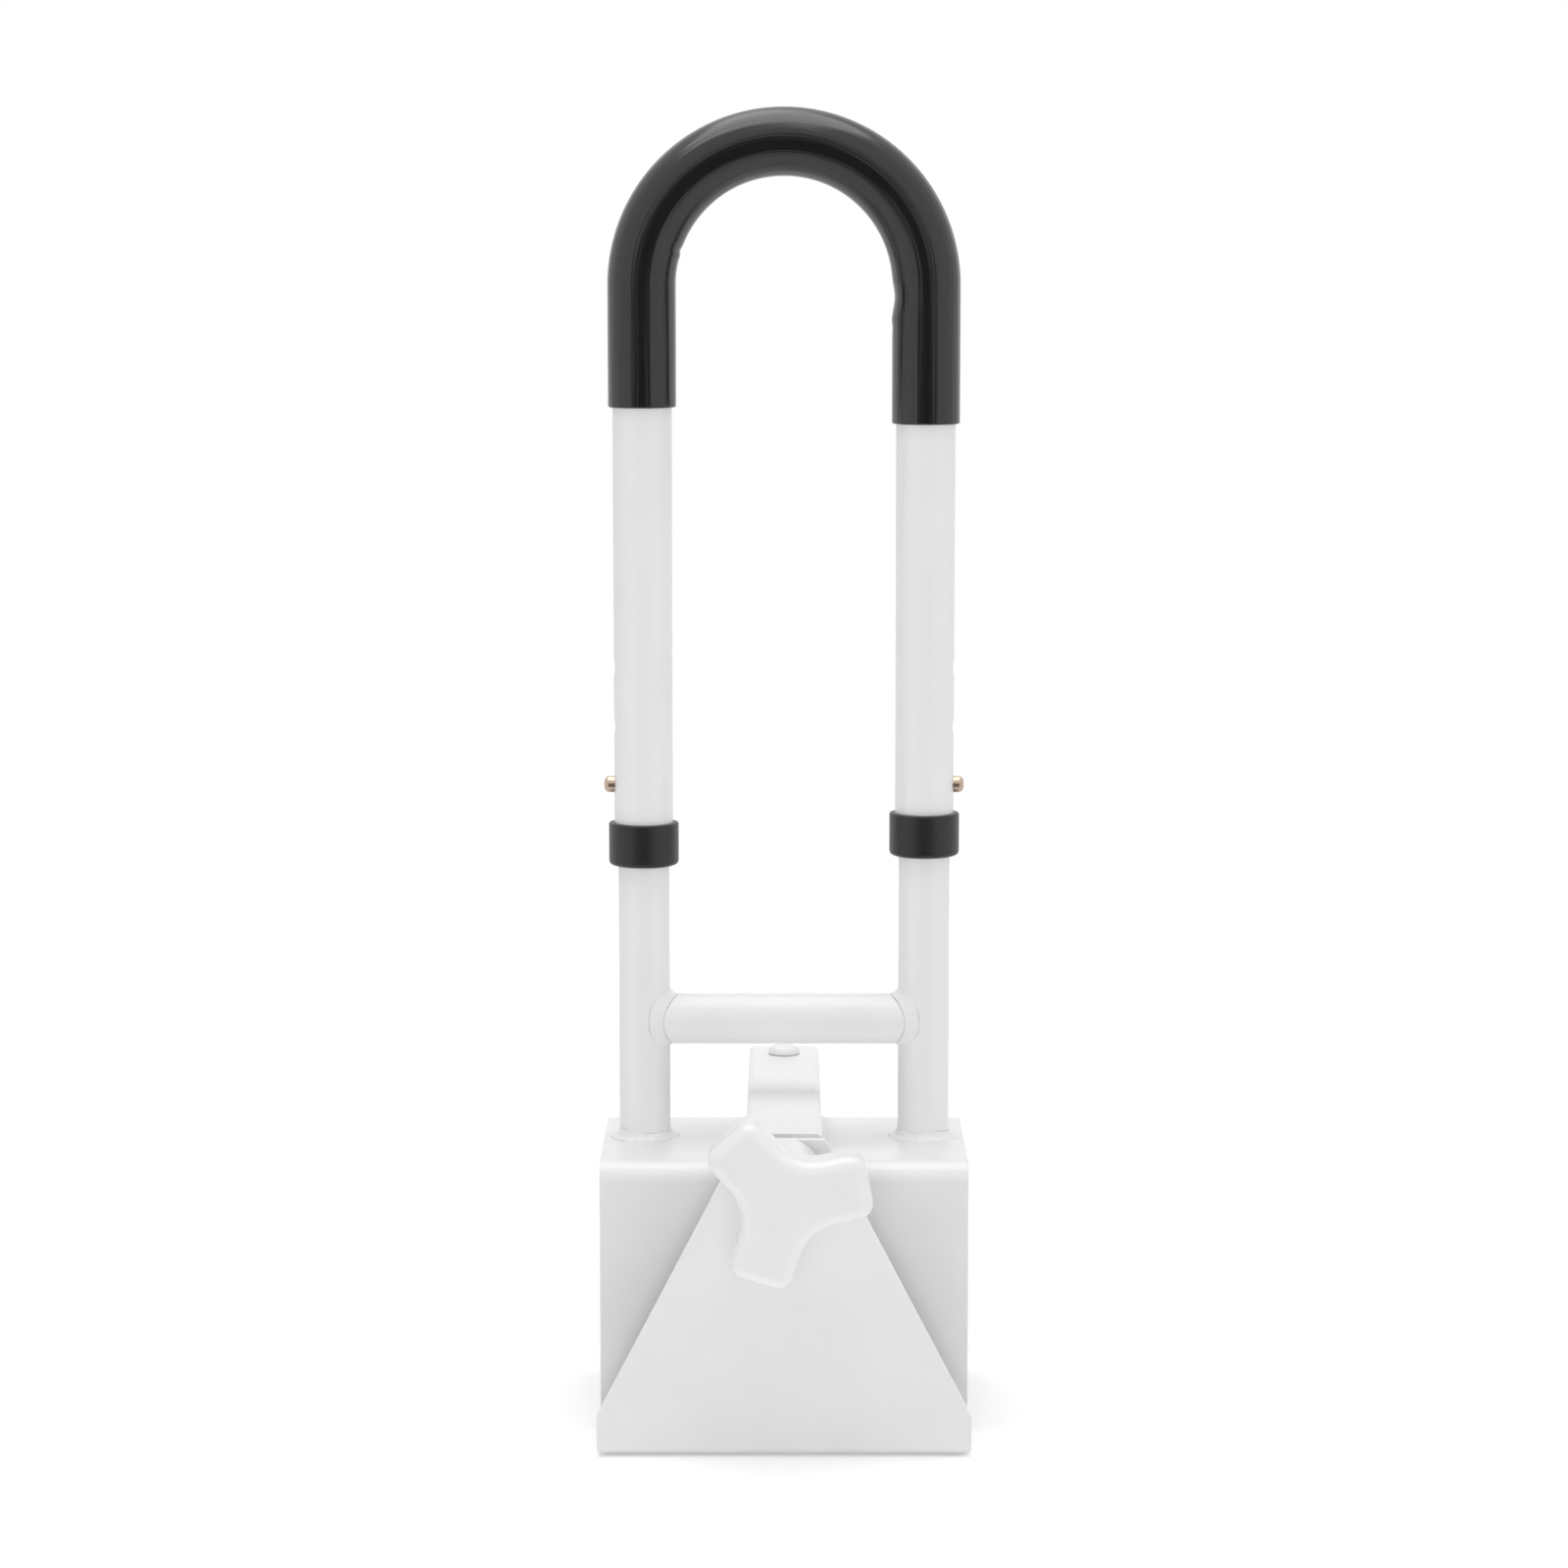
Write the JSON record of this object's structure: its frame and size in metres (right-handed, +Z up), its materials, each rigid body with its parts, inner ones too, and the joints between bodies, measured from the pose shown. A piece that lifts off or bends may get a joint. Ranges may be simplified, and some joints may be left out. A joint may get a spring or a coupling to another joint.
{
  "type": "bathtub safety rail",
  "caption": "Clamp-on bathtub grab rail: a height-adjustable hoop with a black grip on posts, over a saddle with a screw-driven jaw and a lobed knob.",
  "frame": {"origin": "centre of the bounding box in X and Y, on the plane that the saddle's and jaw's lower edges stand on", "axes": "+Z up the posts, +X to the right seen from the knob, -Y from the saddle towards the knob"},
  "size_m": [0.1564, 0.3022, 0.5594],
  "materials": {
    "white_coat": "satin powder coat with a slight orange peel",
    "white_plastic": "glossy moulded plastic",
    "black_grip": "soft vinyl with a dull sheen",
    "black_plastic": "matte moulded plastic",
    "pad_rubber": "matte rubber",
    "button_brass": "dull brass",
    "spring_steel": "plain",
    "zinc_steel": "bright zinc plate"
  },
  "bodies": {
    "frame": {"saddle": "white_coat", "left_post": "white_coat", "right_post": "white_coat", "crossbar": "white_coat", "left_foot_weld": "white_coat", "right_foot_weld": "white_coat", "left_crossbar_weld": "white_coat", "right_crossbar_weld": "white_coat", "left_guide_weld": "white_coat", "right_guide_weld": "white_coat", "guide_tube": "white_coat", "nut_block": "zinc_steel", "nut_bolt": "white_coat", "end_cap": "white_plastic", "fixed_pad": "pad_rubber", "left_snap_spring": "spring_steel", "right_snap_spring": "spring_steel"},
    "handle": {"hoop_tube": "white_coat", "hand_grip": "black_grip", "left_collar": "black_plastic", "right_collar": "black_plastic"},
    "left_button": {"left_button": "button_brass"},
    "right_button": {"right_button": "button_brass"},
    "jaw": {"jaw_plate": "white_coat", "jaw_slider": "zinc_steel", "jaw_pad": "pad_rubber"},
    "knob_screw": {"knob": "white_plastic", "knob_insert": "zinc_steel", "clamp_screw": "zinc_steel", "thrust_washer": "zinc_steel", "retaining_ring": "zinc_steel"}
  },
  "joints": [
    {"name": "hoop_height", "type": "slide", "parent": "frame", "child": "handle", "axis": [0, 0, 1], "range_m": [-0.0508, 0], "deforming": ["left_button", "right_button"]},
    {"name": "left_button_press", "type": "slide", "parent": "frame", "child": "left_button", "axis": [1, 0, 0], "range_m": [0, 0.0065], "stiffness_N_per_m": 800, "springref_m": -0.005, "deforming": ["left_snap_spring"]},
    {"name": "right_button_press", "type": "slide", "parent": "frame", "child": "right_button", "axis": [-1, 0, 0], "range_m": [0, 0.0065], "stiffness_N_per_m": 800, "springref_m": -0.005, "deforming": ["right_snap_spring"]},
    {"name": "jaw_slide", "type": "slide", "parent": "frame", "child": "jaw", "axis": [0, -1, 0], "range_m": [0, 0.06]},
    {"name": "knob_turn", "type": "hinge", "parent": "jaw", "child": "knob_screw", "pos_m": [0, -0.0971, 0.12], "axis": [0, -1, 0], "range_deg": [0, 4320]}
  ],
  "couplings": [
    {"joint": "knob_turn", "follows": "jaw_slide", "rad_per_m": 1256.6}
  ]
}
